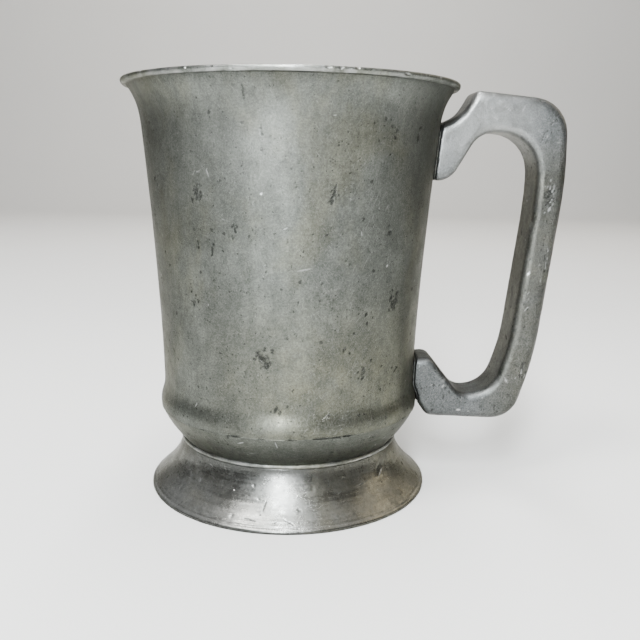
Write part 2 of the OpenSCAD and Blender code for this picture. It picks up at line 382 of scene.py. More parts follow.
def handle_material():
    return pewter("cast_pewter_handle", rgb(0.140, 0.148, 0.150), rgb(0.104, 0.110, 0.110), OLIVE, STAIN,
                  (83, 59, 7), patch=16, olive_share=0.15, rings=0.0, scratch=0.6, rough=(0.36, 0.50),
                  pit_share=0.18, speck_share=0.65, blotch_share=0.42, bump=0.055, grain=0.7, gritty=0.55)


def solder_material(name, bright, dull, offset):
    return pewter(name, bright, dull, OLIVE, STAIN, offset, patch=5, rings=0.0, scratch=0.2,
                  rough=(0.34, 0.55), bump=0.06, grain=0.5)


# ---- reading the CAD walls

def section_loop(node):
    """A turned CAD node's closed outline, where the plane Y = 0 cuts it at X > 0: radius and height."""
    bm = bmesh.new()
    bm.from_mesh(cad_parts[node].data)
    bmesh.ops.remove_doubles(bm, verts=bm.verts, dist=1e-7)
    cut = bmesh.ops.bisect_plane(
        bm, geom=bm.verts[:] + bm.edges[:] + bm.faces[:], dist=1e-7,
        plane_co=(0, 0, 0), plane_no=(0, 1, 0),
    )
    edges = [e for e in cut["geom_cut"] if isinstance(e, bmesh.types.BMEdge)]
    segments = []
    for e in edges:
        a, b = (v.co / MM for v in e.verts)
        if a.x > -1e-4 and b.x > -1e-4:
            segments.append(((a.x, a.z), (b.x, b.z)))
    bm.free()
    return np.array(segments)


def crossings(segments, z):
    """Radii at which the outline crosses a height."""
    a, b = segments[:, 0], segments[:, 1]
    low, high = np.minimum(a[:, 1], b[:, 1]), np.maximum(a[:, 1], b[:, 1])
    hit = (low <= z) & (z <= high) & (high - low > 1e-6)
    t = (z - a[hit, 1]) / (b[hit, 1] - a[hit, 1])
    return a[hit, 0] + t * (b[hit, 0] - a[hit, 0])


def soften(values, times):
    """Rounds off a polyline's corners, with its ends held."""
    values = np.array(values, float)
    for _ in range(times):
        values[1:-1] = 0.25 * values[:-2] + 0.5 * values[1:-1] + 0.25 * values[2:]
    return values


def wall_curve(segments, side, z_from, z_to, times=WALL_SOFTENING):
    """One wall of a turned CAD node as a smooth function from height to radius."""
    heights = np.linspace(z_from, z_to, max(8, int((z_to - z_from) / SAMPLE_STEP)))
    pick = max if side == "out" else min
    radii = soften([pick(crossings(segments, z)) for z in heights], times)
    return lambda z: np.interp(z, heights, radii)


def spaced(start, stop, step):
    """Values from start to stop, both of them included, about a step apart."""
    count = max(2, int(round(abs(stop - start) / step)) + 1)
    return np.linspace(start, stop, count)


# ---- turned meshes

class Outline:
    """Rows of a turned shape, (radius, height) each with the side it belongs to."""

    def __init__(self):
        self.rows = []
        self.sides = []

    def add(self, points, side):
        for radius, height in points:
            self.rows.append((float(radius), float(height)))
            self.sides.append(side)

    def wall(self, curve, heights, side):
        self.add([(curve(z), z) for z in heights], side)


def turn_outline(outline, closed):
    """Vertices, faces, each vertex's row and each face's side for a turned outline."""
    verts, rows, starts = [], [], []
    angles = np.linspace(0, 2 * math.pi, SEGMENTS, endpoint=False)
    for i, (radius, height) in enumerate(outline.rows):
        starts.append(len(verts))
        if radius < 1e-6:
            verts.append((0.0, 0.0, height))
            rows.append(i)
            continue
        for a in angles:
            verts.append((radius * math.sin(a), -radius * math.cos(a), height))
            rows.append(i)
    faces, sides = [], []
    count = len(outline.rows)
    for i in range(count if closed else count - 1):
        k = (i + 1) % count
        low, high = outline.rows[i][0] < 1e-6, outline.rows[k][0] < 1e-6
        for j in range(SEGMENTS):
            n = (j + 1) % SEGMENTS
            if low:
                face = (starts[i], starts[k] + n, starts[k] + j)
            elif high:
                face = (starts[i] + j, starts[i] + n, starts[k])
            else:
                face = (starts[i] + j, starts[i] + n, starts[k] + n, starts[k] + j)
            faces.append(face)
            sides.append(outline.sides[i])
    return verts, faces, rows, sides


def along_rows(rows, position):
    """Points of a smooth curve through the rows at fractional row numbers; straight at sharp corners."""
    rows = np.array(rows)
    last = len(rows) - 1
    i = np.clip(np.floor(position).astype(int), 0, last - 1)
    t = (position - i)[:, None]
    a, b, c, d = (rows[np.clip(i + k, 0, last)] for k in (-1, 0, 1, 2))
    curve = 0.5 * (2 * b + (c - a) * t + (2 * a - 5 * b + 4 * c - d) * t**2 + (3 * b - a - 3 * c + d) * t**3)
    straight = b + (c - b) * t
    before, here, after = (np.linalg.norm(q, axis=1) for q in (b - a, c - b, d - c))
    even = (before > 0.4 * here) & (before < 2.5 * here) & (after > 0.4 * here) & (after < 2.5 * here)
    bend = ((b - a) * (c - b)).sum(1) / (before * here + 1e-9)
    bend_after = ((c - b) * (d - c)).sum(1) / (here * after + 1e-9)
    smooth = even & (bend > 0.9) & (bend_after > 0.9)
    return np.where(smooth[:, None], curve, straight)


class Mark:
    """A mark in the surface: an ellipse pressed in, with a dark or a bright tone."""

    def __init__(self, centre, along, across, half_length, half_width, depth, dark=0.0, bright=0.0,
                 side="out"):
        self.centre = np.array(centre, float)
        self.along = np.array(along, float)
        self.across = np.array(across, float)
        self.half_length, self.half_width = half_length, half_width
        self.depth, self.dark, self.bright, self.side = depth, dark, bright, side

    def reach(self, points):
        """1 at the middle of the mark, 0 at its edge and beyond."""
        away = points - self.centre
        u = away @ self.along / self.half_length
        v = away @ self.across / self.half_width
        return np.clip(1 - u * u - v * v, 0, 1)


def on_turned(azimuth, z, curve, half_length, half_width, tilt, depth, dark=0.0, bright=0.0, side="out"):
    """A mark on a turned wall; tilt is the angle of its length from level."""
    a, lean = math.radians(azimuth), math.radians(tilt)
    radius = float(curve(z))
    slope = float(curve(z + 0.3) - curve(z - 0.3)) / 0.6
    outward = np.array((math.sin(a), -math.cos(a), 0.0))
    level = np.array((math.cos(a), math.sin(a), 0.0))
    rising = outward * slope + np.array((0, 0, 1.0))
    rising /= np.linalg.norm(rising)
    along = level * math.cos(lean) + rising * math.sin(lean)
    across = rising * math.cos(lean) - level * math.sin(lean)
    centre = outward * radius + np.array((0, 0, z))
    return Mark(centre, along, across, half_length, half_width, depth, dark, bright, side)


def refine(bm, marks, face_sides, spacing):
    """Splits the faces round small marks so that the mesh can hold them."""
    centres = np.array([f.calc_center_median() for f in bm.faces])
    faces = list(bm.faces)
    for cuts in (1, 2, 4):
        chosen = np.zeros(len(faces), bool)
        for mark in marks:
            wanted = spacing / (0.45 * mark.half_width) - 1
            group = 1 if wanted <= 1.2 else 2 if wanted <= 2.5 else 4
            if group != cuts or wanted <= 0.15:
                continue
            away = centres - mark.centre
            u = np.abs(away @ mark.along) < mark.half_length + REFINE_MARGIN
            v = np.abs(away @ mark.across) < mark.half_width + REFINE_MARGIN
            near = np.linalg.norm(away, axis=1) < mark.half_length + mark.half_width + REFINE_MARGIN
            chosen |= u & v & near & (face_sides == mark.side)
        edges = {e for f, on in zip(faces, chosen) if on and f.is_valid for e in f.edges}
        if edges:
            bmesh.ops.subdivide_edges(bm, edges=list(edges), cuts=cuts, use_grid_fill=True)
            bm.faces.ensure_lookup_table()
            faces = list(bm.faces)
            centres = np.array([f.calc_center_median() for f in faces])
            side_layer = bm.faces.layers.int["side"]
            face_sides = np.array([SIDES[f[side_layer]] for f in faces])


SIDES = ("out", "in", "hidden", "lip")


def sample_noise(points, size, octaves=3, shift=0.0):
    """Smooth noise from about -1 to 1 at each point, with features about as large as size."""
    offset = Vector((shift, shift * 0.7, -shift))
    return np.array([noise.fractal(Vector(p) / size + offset, 0.9, 2.1, octaves) for p in points])


def azimuth_of(points):
    return np.degrees(np.arctan2(points[:, 0], -points[:, 1]))


def blank_wear_and_light(points):
    """No grime, burnish, tint or shade at any vertex."""
    return np.zeros((len(points), 4))


def ridge(values, middle, width):
    """1 where the values are at the middle, falling smoothly to 0 over about the width."""
    return np.exp(-((values - middle) / width) ** 2)


def fade(values, start, over):
    """0 at the start, 1 beyond a distance from it, even between; a negative distance runs downwards."""
    return np.clip((values - start) / over, 0, 1)


def turned_piece(name, outline, closed, materials, marks, shape, paint):
    """A turned piece with marks pressed into it. shape(points, sides) moves the plain surface, as millimetres
    inward, and paint(points, sides) gives the first grime, burnish, tint and shade of every vertex, painted
    shade, highlights and reflection among them."""
    verts, faces, rows, sides = turn_outline(outline, closed)
    mesh = bpy.data.meshes.new(name)
    mesh.from_pydata(verts, [], faces)
    bm = bmesh.new()
    bm.from_mesh(mesh)
    row_layer = bm.verts.layers.float.new("row")
    side_layer = bm.faces.layers.int.new("side")
    for v, row in zip(bm.verts, rows):
        v[row_layer] = row
    for f, side in zip(bm.faces, sides):
        f[side_layer] = SIDES.index(side)
        f.material_index = 1 if side == "in" and len(materials) > 1 else 0
    refine(bm, marks, np.array(sides), WALL_STEP)
    row = np.array([v[row_layer] for v in bm.verts])
    points = np.array([v.co for v in bm.verts])
    vertex_side = np.array(["hidden"] * len(points), dtype=object)
    for f in bm.faces:
        for v in f.verts:
            vertex_side[v.index] = SIDES[f[side_layer]]
    bm.verts.index_update()
    bm.to_mesh(mesh)
    bm.free()

    profile = along_rows(outline.rows, row)
    angle = np.arctan2(points[:, 0], -points[:, 1])
    points = np.stack([profile[:, 0] * np.sin(angle), -profile[:, 0] * np.cos(angle), profile[:, 1]], axis=1)
    mesh.vertices.foreach_set("co", points.ravel())
    mesh.update()
    inward, wear_and_light = shape(points, vertex_side), paint(points, vertex_side)
    points = press_marks(mesh, points, vertex_side, marks, inward, wear_and_light)
    mesh.vertices.foreach_set("co", (points * MM).ravel())
    return finish_mesh(name, mesh, materials)


def press_marks(mesh, points, vertex_side, marks, inward, wear_and_light):
    """Moves the vertices in by the plain shape and by every mark, and stores the painted colours on the mesh.

    They are a colour attribute: grime, burnish and tint, and a shade as its alpha, which also hold painted
    shade, painted highlights and a painted warm reflection.
    """
    normals = np.zeros(len(points) * 3)
    mesh.vertex_normals.foreach_get("vector", normals)
    normals = normals.reshape(-1, 3)
    ragged = 1 + 0.45 * sample_noise(points, 0.9, 2, 3.1)
    for mark in marks:
        near = np.flatnonzero(
            (np.linalg.norm(points - mark.centre, axis=1) < 1.4 * (mark.half_length + mark.half_width))
            & ((vertex_side == mark.side) | (mark.side == "any"))
        )
        if not len(near):
            continue
        reach = mark.reach(points[near])
        inward[near] += mark.depth * reach**1.5 * ragged[near]
        wear_and_light[near, 0] = np.maximum(wear_and_light[near, 0], mark.dark * np.sqrt(reach))
        wear_and_light[near, 1] = np.maximum(wear_and_light[near, 1], mark.bright * np.sqrt(reach))
    attribute = mesh.color_attributes.new("wear_and_light", "FLOAT_COLOR", "POINT")
    attribute.data.foreach_set("color", np.clip(wear_and_light, 0, 1).ravel())
    return points - normals * inward[:, None]


def finish_mesh(name, mesh, materials):
    """The piece that a finished mesh makes, without the layers that were used to build it."""
    for layer in ("row", "side"):
        if layer in mesh.attributes:
            mesh.attributes.remove(mesh.attributes[layer])
    mesh.shade_smooth()
    mesh.update()
    piece = bpy.data.objects.new(name, mesh)
    for material in materials:
        mesh.materials.append(material)
    bpy.context.scene.collection.objects.link(piece)
    return piece


def put_in_place(piece, node):
    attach(piece, "root")
    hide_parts(node)


# ---- sizes read from the CAD

def box_mm(node):
    low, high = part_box(node)
    return np.array(low) / MM, np.array(high) / MM


barrel_low, barrel_high = box_mm("barrel")
bowl_low, bowl_high = box_mm("bowl")
foot_low, foot_high = box_mm("foot")
handle_high = box_mm("handle")[1]
RIM_R, RIM_Z = barrel_high[0], barrel_high[2]
SEAM_Z = barrel_low[2]
NECK_Z = bowl_low[2]
LAP_TOP_Z = bowl_high[2]
FOOT_R = foot_high[0]
# Thickness of the solder film between the barrel and the bowl
FILM = 0.15
barrel_cut = section_loop("barrel")
bowl_cut = section_loop("bowl")
foot_cut = section_loop("foot")

# Below the brim by this much, the thickened lip ends in a crease
LIP_H = 1.9
barrel_wall = wall_curve(barrel_cut, "out", SEAM_Z + 0.02, RIM_Z - LIP_H)
barrel_bore = wall_curve(barrel_cut, "in", SEAM_Z + 0.02, RIM_Z - 0.8)


# ---- barrel

def lip_points():
    """The thickened lip, from the crease under it over the top to the inside."""
    steps = ((0.66, -1.92), (0.44, -1.74), (0.22, -1.46), (0.07, -1.14), (0.0, -0.80), (0.03, -0.48),
             (0.14, -0.24), (0.34, -0.07), (0.62, 0.0), (0.95, -0.05), (1.20, -0.22), (1.36, -0.48))
    return [(RIM_R - inwards, RIM_Z + down) for inwards, down in steps]


def barrel_outline():
    outline = Outline()
    edge = float(barrel_wall(SEAM_Z + 0.4))
    outline.add([(edge - 0.36, SEAM_Z + 0.01), (edge - 0.03, SEAM_Z + 0.01), (edge, SEAM_Z + 0.10)], "out")
    outline.wall(barrel_wall, spaced(SEAM_Z + 0.3, SEAM_Z + 1.5, 0.3), "out")
    outline.wall(barrel_wall, spaced(SEAM_Z + 2.0, RIM_Z - LIP_H - 0.25, WALL_STEP), "out")
    outline.wall(barrel_wall, [RIM_Z - LIP_H - 0.02], "out")
    outline.add(lip_points(), "lip")
    outline.wall(barrel_bore, spaced(RIM_Z - 0.9, LAP_TOP_Z, INNER_STEP), "in")
    outline.wall(barrel_bore, spaced(LAP_TOP_Z - 0.8, SEAM_Z + 0.02, 1.2), "hidden")
    return outline


def random_marks(rng, curve, count, z_range, size, depth, dark, bright, side="out", long=1.8):
    marks = []
    for _ in range(count):
        azimuth, z = rng.uniform(-180, 180), rng.uniform(*z_range)
        width = rng.uniform(*size)
        length = width * rng.uniform(1.0, long)
        tilt = rng.uniform(-90, 90)
        press, dirt, shine = rng.uniform(*depth), rng.uniform(*dark), rng.uniform(*bright)
        marks.append(on_turned(azimuth, z, curve, length, width, tilt, press, dirt, shine, side))
    return marks


def stain(rng, curve, azimuth, z, spread, count, dark=(0.75, 1.0)):
    """A ragged stain: small dark marks that crowd round a place."""
    marks = []
    for _ in range(count):
        away, height = rng.gauss(0, 0.45 * spread), rng.gauss(0, 0.6 * spread)
        turn = math.degrees(away / float(curve(z)))
        width = spread * rng.uniform(0.14, 0.34)
        marks.append(on_turned(azimuth + turn, z + height, curve, width * rng.uniform(1.0, 2.4), width,
                               rng.uniform(40, 120), rng.uniform(0.02, 0.07), rng.uniform(*dark)))
    return marks


# The larger ragged stains on the barrel, roughly placed: azimuth, height, spread, number of marks
BARREL_STAINS = (
    (15, 95, 1.6, 14),
    (-35, 95, 2.2, 16),
    (-20, 85, 1.8, 6),
    (-40, 65, 1.8, 13),
    (-10, 50, 2.6, 22),
    (45, 65, 2.4, 18),
    (40, 85, 1.6, 6),
    (30, 45, 2.0, 7),
    (-5, 35, 1.6, 7),
)
# Strokes and nicks on the barrel, roughly placed:
# azimuth, height, half length, half width, tilt, depth, dark, bright
BARREL_MARKS = (
    (-15, 120, 2.6, 0.45, 90, 0.02, 0.75, 0.0),
    (15, 95, 3.4, 0.55, 80, 0.05, 0.9, 0.0),
    (-30, 100, 1.2, 0.20, 110, 0.10, 0.0, 0.9),
    (-35, 100, 1.6, 0.20, 20, 0.10, 0.6, 0.5),
    (-10, 95, 0.45, 0.35, 30, 0.12, 0.0, 0.9),
    (40, 75, 0.5, 0.30, 60, 0.10, 0.0, 0.9),
    (5, 75, 2.2, 0.25, 10, 0.04, 0.0, 0.35),
)


def barrel_marks():
    rng = random.Random(SEED)
    marks = [on_turned(m[0], m[1], barrel_wall, *m[2:]) for m in BARREL_MARKS]
    for azimuth, z, spread, count in BARREL_STAINS:
        marks += stain(rng, barrel_wall, azimuth, z, spread, count)
    wall = (SEAM_Z + 3, RIM_Z - 8)
    # Shallow dents, pits and bright scratches
    marks += random_marks(rng, barrel_wall, 16, wall, (4.0, 8.0), (0.05, 0.16), (0, 0), (0, 0), long=2.2)
    marks += random_marks(rng, barrel_wall, 40, wall, (0.3, 0.6), (0.03, 0.08), (0.5, 0.9), (0, 0))
    marks += random_marks(rng, barrel_wall, 22, wall, (0.14, 0.20), (0.04, 0.08), (0, 0), (0.25, 0.7), long=6)
    # Stains all round, sparser on the front, which has its own
    for _ in range(30):
        azimuth, z, spread = rng.uniform(-180, 180), rng.uniform(*wall), rng.uniform(1.0, 2.6)
        marks += stain(rng, barrel_wall, azimuth, z, spread, 3 if abs(azimuth) < 60 else 7)
    # A field of fine faint specks down the front, a little left of the middle
    for _ in range(70):
        azimuth, z, spread = rng.gauss(-12, 14), rng.uniform(45, RIM_Z - 14), rng.uniform(0.7, 1.7)
        marks += stain(rng, barrel_wall, azimuth, z, spread, 3, (0.30, 0.65))
    inside = (LAP_TOP_Z + 2, RIM_Z - 5)
    marks += random_marks(rng, barrel_bore, 45, inside, (0.6, 1.8), (0.03, 0.10), (0.5, 0.9), (0, 0),
                          side="in")
    marks += [rim_nick(rng) for _ in range(26)]
    return marks


def rim_nick(rng):
    """A short dent in the lip."""
    azimuth = rng.uniform(-180, 180)
    press = rng.uniform(0.10, 0.30)
    length = rng.uniform(0.5, 1.4)
    nick = on_turned(azimuth, RIM_Z - 2.0, barrel_wall, length, 0.5, 0, press, 0.25, 0.3, "lip")
    a = math.radians(azimuth)
    nick.centre = np.array((RIM_R * math.sin(a), -RIM_R * math.cos(a), RIM_Z - rng.uniform(0.1, 1.2)))
    return nick


def barrel_shape(points, sides):
    """The barrel is a little out of round, and its surface wanders."""
    azimuth = np.radians(azimuth_of(points))
    oval = 0.05 * (1 + np.cos(2 * azimuth + 0.9)) + 0.05
    wander = 0.05 * (1 + sample_noise(points, 22.0, 2, 1.7)) + 0.012 * (1 + sample_noise(points, 6.0, 2, 5.3))
    # Both fade out at the seam, so that the barrel meets the bowl without a step
    inward = (oval + wander) * fade(points[:, 2], SEAM_Z, 7)
    inward[sides == "in"] *= -1
    inward[sides == "hidden"] = 0
    crease = ridge(points[:, 2], RIM_Z - LIP_H, 0.5)
    inward += np.where(sides == "out", 0.10 * crease, 0)
    seam = ridge(points[:, 2], SEAM_Z, 0.5) * seam_opening(points)
    return inward + np.where(sides == "out", 0.22 * seam, 0)


def seam_opening(points):
    """How far the seam has opened, from 0 to 1, in stretches round the tankard."""
    azimuth = np.radians(azimuth_of(points))
    ring = np.stack([np.sin(azimuth) * 42, -np.cos(azimuth) * 42, np.zeros(len(points))], axis=1)
    wide = sample_noise(ring, 22.0, 2, 8.2)
    fine = sample_noise(ring, 2.4, 3, 2.6)
    degrees = np.degrees(azimuth)
    left = ridge(degrees, -24, 13)
    right = ridge(degrees, 18, 17)
    return np.clip(-0.68 + 1.15 * left + 1.25 * right + 0.5 * wide + 1.5 * fine, 0, 1)


def barrel_paint(points, sides):
    """Grime in the seam and at the bottom inside, and grime and painted shade under the lip; olive low down;
    a painted highlight on the upper front and on the front of the lip; painted shade that grows towards the
    bottom.
    """
    wear_and_light = blank_wear_and_light(points)
    z = points[:, 2]
    lip, out, within = (sides == side for side in ("lip", "out", "in"))
    # Dirt and painted shade in the crease under the lip, and a wider painted shade below it
    crease_dirt_and_shade = ridge(z, RIM_Z - LIP_H, 0.9)
    crease_shade = ridge(z, RIM_Z - LIP_H, 1.6)
    # A painted highlight on the upper front, lighter and smoother there
    painted_upper_highlight = ridge(azimuth_of(points), -14, 24) * ridge(z, 108, 13)
    painted_upper_highlight *= np.clip(0.9 + 0.5 * sample_noise(points, 7.0, 3, 2.2), 0, 1)
    # The lip is rubbed bright in patches, with a painted highlight that is strongest at the front
    front = ridge(azimuth_of(points), -8, 38)
    lip_polish_and_highlight = 0.05 + 0.22 * front + 0.4 * sample_noise(points, 3.0, 3, 9.4)
    wear_and_light[:, 1] = np.where(lip, lip_polish_and_highlight, np.where(out, 0.07 * painted_upper_highlight, 0))
    wear_and_light[:, 0] = np.where(out, 0.25 * crease_dirt_and_shade, 0)
    open_seam = seam_opening(points) * ridge(z, SEAM_Z, 0.35)
    wear_and_light[:, 0] = np.maximum(wear_and_light[:, 0], np.where(out, 0.9 * open_seam, 0))
    low_olive = fade(z, 72, -30) * np.clip(points[:, 0] / 40 + 0.8, 0, 1)
    wear_and_light[:, 2] = np.where(out, 1.2 * low_olive, 0)
    # Painted shade that grows towards the bottom, with more under the lip and less on the painted highlight
    wear_and_light[:, 3] = np.where(out, 0.24 + 0.13 * fade(z, 104, -40) - 0.24 * painted_upper_highlight, 0)
    wear_and_light[:, 3] += np.where(out, 0.4 * crease_shade, 0)
    low_dirt = 0.35 * fade(z, 45, -14)
    wear_and_light[:, 0] = np.where(within, np.maximum(wear_and_light[:, 0], low_dirt), wear_and_light[:, 0])
    return wear_and_light


def make_barrel():
    materials = (body_material("aged_pewter_barrel"), inside_material())
    piece = turned_piece("turned_barrel", barrel_outline(), True, materials, barrel_marks(), barrel_shape,
                         barrel_paint)
    put_in_place(piece, "barrel")


# ---- bowl

bowl_wall = wall_curve(bowl_cut, "out", NECK_Z + 0.02, SEAM_Z - 0.2, 20)
LAP_R = float(max(crossings(bowl_cut, SEAM_Z + 1.0)))
FLOOR_R, FLOOR_Z = min((p for p in bowl_cut.reshape(-1, 2) if p[1] > NECK_Z + 0.5), key=lambda p: p[0])
bowl_bore = wall_curve(bowl_cut, "in", FLOOR_Z + 0.02, LAP_TOP_Z - 0.02, 2)


def bowl_outline():
    """From the middle of the underside up the outside and over the lip to the middle of the floor."""
    outline = Outline()
    neck = float(bowl_wall(NECK_Z + 0.3))
    for radius in spaced(0, neck - 0.8, 0.9):
        outline.add([(radius, NECK_Z + turned_ring(radius))], "in")
    outline.add([(neck - 0.3, NECK_Z), (neck - 0.05, NECK_Z + 0.12)], "out")
    outline.wall(bowl_wall, spaced(NECK_Z + 0.4, SEAM_Z - 1.2, 0.55), "out")
    outline.wall(bowl_wall, spaced(SEAM_Z - 0.9, SEAM_Z - 0.4, 0.25), "out")
    edge = float(bowl_wall(SEAM_Z - 0.3))
    outline.add([(edge, SEAM_Z - 0.25), (edge - 0.03, SEAM_Z - 0.17), (edge - 0.36, SEAM_Z - 0.16)], "out")
    outline.add([(LAP_R + 0.1, SEAM_Z - FILM), (LAP_R, SEAM_Z + 0.2), (LAP_R, LAP_TOP_Z - 0.25)], "hidden")
    bore = float(bowl_bore(LAP_TOP_Z - 0.1))
    outline.add([(0.5 * (LAP_R + bore), LAP_TOP_Z), (bore + 0.05, LAP_TOP_Z - 0.12)], "in")
    outline.wall(bowl_bore, spaced(LAP_TOP_Z - 0.8, FLOOR_Z + 2.0, 0.8), "in")
    outline.wall(bowl_bore, [FLOOR_Z + h for h in (1.5, 1.05, 0.7, 0.42, 0.2, 0.07)], "in")
    for radius in spaced(FLOOR_R, 0, 0.9):
        outline.add([(radius, FLOOR_Z + 0.3 * turned_ring(radius))], "in")
    return outline


def turned_ring(radius):
    """Height of the fine ridges that turning left on a flat face, at a radius."""
    return 0.035 * (1 + math.sin(radius * 2.1) * math.sin(radius * 0.37 + 1.0))


def bowl_shape(points, sides):
    lines = 0.018 * (1 + np.sin(points[:, 2] * 7.5 + 0.6 * sample_noise(points, 9, 2, 6.1)))
    wander = 0.03 * (1 + sample_noise(points, 14.0, 2, 4.4))
    radius = np.hypot(points[:, 0], points[:, 1])
    inward = (lines + wander) * fade(radius, 0, 6) * fade(points[:, 2], SEAM_Z, -3)
    inward[sides != "out"] = 0
    seam = ridge(points[:, 2], SEAM_Z - FILM, 0.4) * seam_opening(points)
    return inward + np.where(sides == "out", 0.16 * seam, 0)


def bowl_paint(points, sides):
    wear_and_light = blank_wear_and_light(points)
    z = points[:, 2]
    radius = np.hypot(points[:, 0], points[:, 1])
    outside = sides == "out"
    # Painted shade that darkens the bowl towards the neck, put in as grime
    neck_painted_shade = 0.1875 * fade(z, NECK_Z + 5, -5)
    seam_dirt = 0.9 * seam_opening(points) * ridge(z, SEAM_Z - FILM, 0.35)
    wear_and_light[:, 0] = np.where(outside, np.maximum(neck_painted_shade, seam_dirt), 0)
    wear_and_light[:, 2] = np.where(outside, 0.3, 0)
    # Painted shade over the whole outside of the bowl, which faces down
    wear_and_light[:, 3] = np.where(outside, 0.40, 0)
    inside = sides == "in"
    wear_and_light[:, 0] = np.where(inside, 0.25 + 0.3 * ridge(radius, 30, 3.0), wear_and_light[:, 0])
    return wear_and_light


def make_bowl():
    rng = random.Random(SEED + 1)
    top = SEAM_Z - 1.5
    marks = random_marks(rng, bowl_wall, 26, (NECK_Z + 2, top), (0.3, 0.8), (0.03, 0.08), (0.5, 0.9), (0, 0))
    marks += random_marks(rng, bowl_wall, 14, (NECK_Z + 3, top), (0.14, 0.2), (0.03, 0.06), (0, 0),
                          (0.4, 0.8), long=10)
    materials = (body_material("aged_pewter_bowl"), inside_material())
    piece = turned_piece("spun_bowl", bowl_outline(), False, materials, marks, bowl_shape, bowl_paint)
    put_in_place(piece, "bowl")


# ---- foot

FOOT_TOP_Z = foot_high[2]
foot_wall = wall_curve(foot_cut, "out", foot_low[2] + 0.02, FOOT_TOP_Z - 0.02, 6)
LEDGE_R = float(min(crossings(foot_cut, FOOT_TOP_Z - 0.6)))
# Thickness of the ledge that carries the bowl, and height of the foot's upright edge
LEDGE_T = 1.6
EDGE_H = 1.0
HOLLOW_Z = FOOT_TOP_Z - LEDGE_T
foot_hollow = wall_curve(foot_cut, "in", foot_low[2] + 0.02, HOLLOW_Z - 0.05, 6)


def foot_outline():
    """From the resting ring up the flank, over the ledge and down the hollow."""
    outline = Outline()
    ring_in = float(foot_hollow(0.05))
    for radius in spaced(ring_in + 0.2, FOOT_R - 0.45, 0.7):
        outline.add([(radius, 0.0)], "hidden")
    outline.add([(FOOT_R - 0.16, 0.07), (FOOT_R - 0.02, 0.28), (FOOT_R, 0.55), (FOOT_R - 0.03, 0.86),
                 (FOOT_R - 0.22, EDGE_H + 0.12)], "out")
    outline.wall(foot_wall, spaced(EDGE_H + 0.35, EDGE_H + 2.0, 0.22), "out")
    outline.wall(foot_wall, spaced(EDGE_H + 2.3, FOOT_TOP_Z - 0.5, 0.42), "out")
    top = float(foot_wall(FOOT_TOP_Z - 0.3))
    outline.add([(top - 0.06, FOOT_TOP_Z - 0.14), (top - 0.28, FOOT_TOP_Z)], "out")
    outline.add([(LEDGE_R + 0.3, FOOT_TOP_Z), (LEDGE_R, FOOT_TOP_Z - 0.25), (LEDGE_R, HOLLOW_Z + 0.2)], "in")
    outline.wall(foot_hollow, spaced(HOLLOW_Z - 0.1, 0.4, 0.8), "in")
    return outline


def foot_shape(points, sides):
    """Fine turned rings down the flank, a groove above the upright edge, and a slight wander."""
    z = points[:, 2]
    radius = np.hypot(points[:, 0], points[:, 1])
    rings = 0.012 * (1 + np.sin(radius * 6.3 + 0.8 * sample_noise(points, 8, 2, 3.3)))
    rings += 0.012 * (1 + np.sin(radius * 2.9 + 1.2))
    groove = 0.09 * ridge(z, EDGE_H + 0.75, 0.22)
    wander = 0.035 * (1 + sample_noise(points, 11.0, 2, 7.7))
    inward = rings + groove + wander
    inward[sides != "out"] = 0
    inward[(z < EDGE_H) | (z > FOOT_TOP_Z - 0.4)] *= 0.3
    return inward


def foot_paint(points, sides):
    """Grime in the groove, grime and painted shade on the upright bottom edge, a rubbed line at the edge,
    painted shade round the top of the foot under the bowl, and an olive tint to the right that is a painted
    warm reflection.
    """
    wear_and_light = blank_wear_and_light(points)
    z = points[:, 2]
    outside = sides == "out"
    upright = outside & (z < EDGE_H - 0.05)
    wear_and_light[:, 0] = np.where(outside, 0.35 * ridge(z, EDGE_H + 0.9, 0.25), 0.3)
    # Dirt and painted shade on the upright bottom edge
    wear_and_light[:, 0] = np.where(outside & (z < 0.8), 0.6, wear_and_light[:, 0])
    wear_and_light[:, 1] = np.where(outside, 0.25 * ridge(z, EDGE_H + 0.5, 0.2), 0)
    # A painted warm reflection: olive, growing towards the right
    wear_and_light[:, 2] = np.where(outside, 1.1 * fade(points[:, 0], 0, 30), 0.2)
    # Painted shade round the top of the foot, under the bowl
    collar_shade = 0.95 * fade(z, FOOT_TOP_Z - 5.5, 4.5)
    wear_and_light[:, 3] = np.where(upright, 0.8, collar_shade)
    return wear_and_light


# On the foot, roughly placed: azimuth, height, half length, half width, tilt, depth, dark, bright
FOOT_MARKS = (
    (50, 11, 2.8, 1.5, 35, 0.10, 0.9, 0.0),
    (50, 10, 2.6, 0.25, 30, 0.10, 0.0, 0.8),
    (35, 9, 4.0, 0.25, 10, 0.10, 0.7, 0.0),
    (-45, 9, 0.9, 0.3, 95, 0.14, 0.0, 1.0),
    (-25, 9, 0.6, 0.3, 150, 0.06, 0.0, 0.8),
    (-10, 6, 2.2, 0.3, 80, 0.10, 0.8, 0.0),
    (0, 3, 2.2, 0.3, 150, 0.12, 0.8, 0.3),
    (-15, 3, 2.4, 0.25, 170, 0.10, 0.7, 0.3),
)


def make_foot():
    rng = random.Random(SEED + 2)
    flank = (EDGE_H + 1.5, FOOT_TOP_Z - 1.5)
    marks = [on_turned(m[0], m[1], foot_wall, *m[2:]) for m in FOOT_MARKS]
    marks += random_marks(rng, foot_wall, 60, flank, (0.3, 0.8), (0.04, 0.10), (0.5, 0.9), (0, 0))
    marks += random_marks(rng, foot_wall, 16, flank, (0.12, 0.18), (0.02, 0.04), (0, 0.5), (0.2, 0.5),
                          long=12)
    marks += random_marks(rng, foot_wall, 30, flank, (1.5, 4.0), (0.03, 0.09), (0, 0), (0, 0), long=2.5)
    materials = (foot_material(), inside_material())
    piece = turned_piece("spread_foot", foot_outline(), True, materials, marks, foot_shape, foot_paint)
    put_in_place(piece, "foot")


# ---- handle

